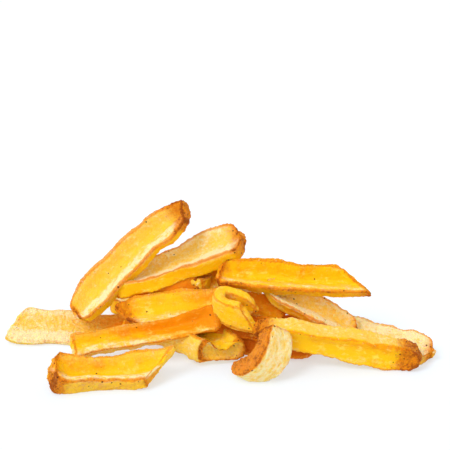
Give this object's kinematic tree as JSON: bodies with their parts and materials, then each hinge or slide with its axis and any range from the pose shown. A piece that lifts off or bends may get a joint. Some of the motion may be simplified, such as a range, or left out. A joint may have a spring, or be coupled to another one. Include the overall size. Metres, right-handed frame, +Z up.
{
  "type": "heap of thick-cut fries",
  "caption": "Loose heap of thick-cut potato fries, dished, bowed and curled, crossing and leaning on each other, for laying on a table, tray or plate.",
  "frame": {"origin": "on the table, under the middle of the heap's box", "axes": "+Z up from the table, +X to the right along the heap's long side, the viewer of the picture at -Y"},
  "size_m": [0.244, 0.1272, 0.0795],
  "materials": {
    "fried_potato": "satin"
  },
  "bodies": {
    "root": {"fries_heap": "fried_potato"}
  },
  "joints": []
}
